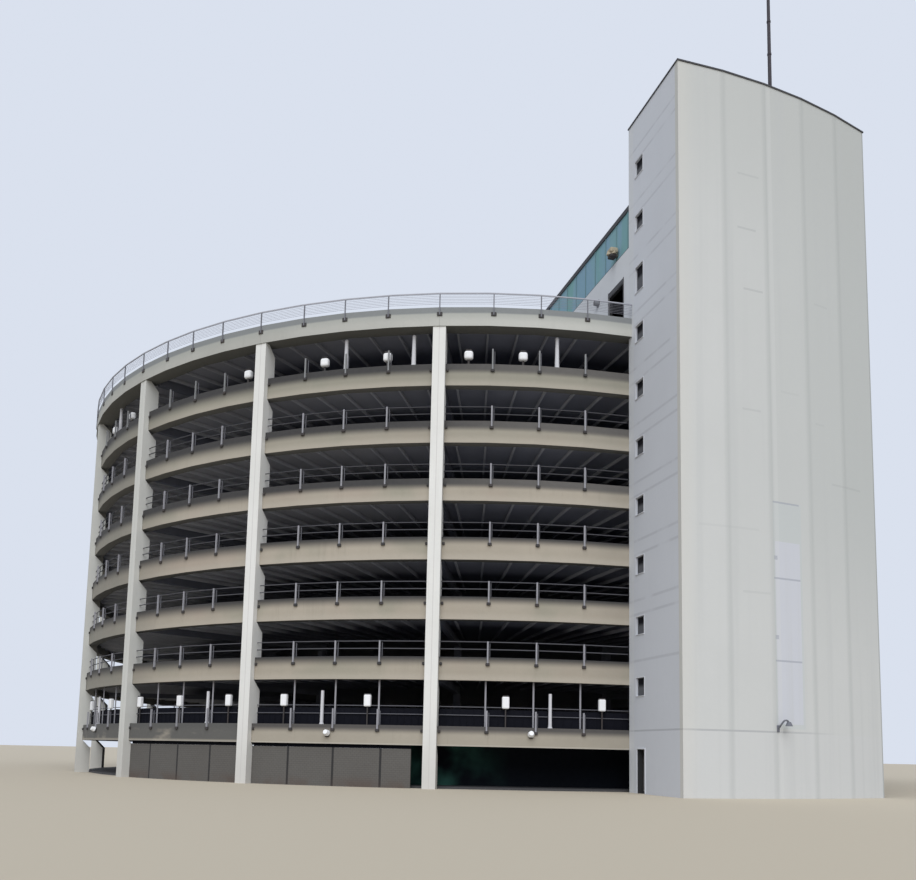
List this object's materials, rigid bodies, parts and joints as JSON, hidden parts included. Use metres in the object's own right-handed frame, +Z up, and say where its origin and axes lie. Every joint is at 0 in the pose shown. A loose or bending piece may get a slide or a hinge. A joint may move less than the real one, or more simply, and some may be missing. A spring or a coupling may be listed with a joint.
{
  "type": "multi storey car park building, 1:10 scale model",
  "caption": "Round open-sided car park with edge bands, street fins and guard rails, beside a tall white wedge-shaped stair tower and a glazed hall on the roof.",
  "frame": {"origin": "centre of the ring at ground level", "axes": "+Z up; -Y through the front fin, towards the street; +X to the right seen from the street, on the tower's side"},
  "size_m": [5.46, 5.7564, 3.85],
  "materials": {
    "band_concrete": "matt, beige concrete band",
    "dark_trim": "satin, dark metal",
    "deck_concrete": "matt, concrete slab",
    "fin_white": "matt, painted concrete",
    "frame_concrete": "matt, concrete frame",
    "inner_wall": "matt, painted wall",
    "lamp_tan": "satin, tan metal",
    "rail_metal": "satin, painted steel",
    "screen_block": "matt, dark grey block",
    "teal_glass": "teal glass band",
    "tower_white": "matt, painted concrete",
    "window_pane": "dark glass"
  },
  "bodies": {
    "root": {"deck_1": "deck_concrete", "deck_2": "deck_concrete", "deck_3": "deck_concrete", "deck_4": "deck_concrete", "deck_5": "deck_concrete", "deck_6": "deck_concrete", "deck_7": "deck_concrete", "deck_beams": "frame_concrete", "fascia_1": "band_concrete", "fascia_2": "band_concrete", "fascia_3": "band_concrete", "fascia_4": "band_concrete", "fascia_5": "band_concrete", "fascia_6": "band_concrete", "fascia_7": "band_concrete", "fin_webs": "fin_white", "fins": "fin_white", "ground_inner_wall": "inner_wall", "ground_screen_wall": "screen_block", "ground_slab": "deck_concrete", "inner_columns": "frame_concrete", "railing_1": "rail_metal", "railing_2": "rail_metal", "railing_3": "rail_metal", "railing_4": "rail_metal", "railing_5": "rail_metal", "railing_6": "rail_metal", "railing_7": "rail_metal", "roof_deck": "deck_concrete", "roof_hall_glass": "teal_glass", "roof_hall_lamp": "lamp_tan", "roof_hall_roof": "dark_trim", "roof_hall_walls": "tower_white", "roof_railing": "rail_metal", "roof_ring": "fin_white", "tower_back_wall": "tower_white", "tower_cap": "dark_trim", "tower_door_wall": "tower_white", "tower_floors": "deck_concrete", "tower_front_wall": "tower_white", "tower_left_wall": "tower_white", "tower_mast": "dark_trim", "tower_right_wall": "tower_white", "tower_roof": "tower_white", "tower_windows": "window_pane"}
  },
  "joints": []
}
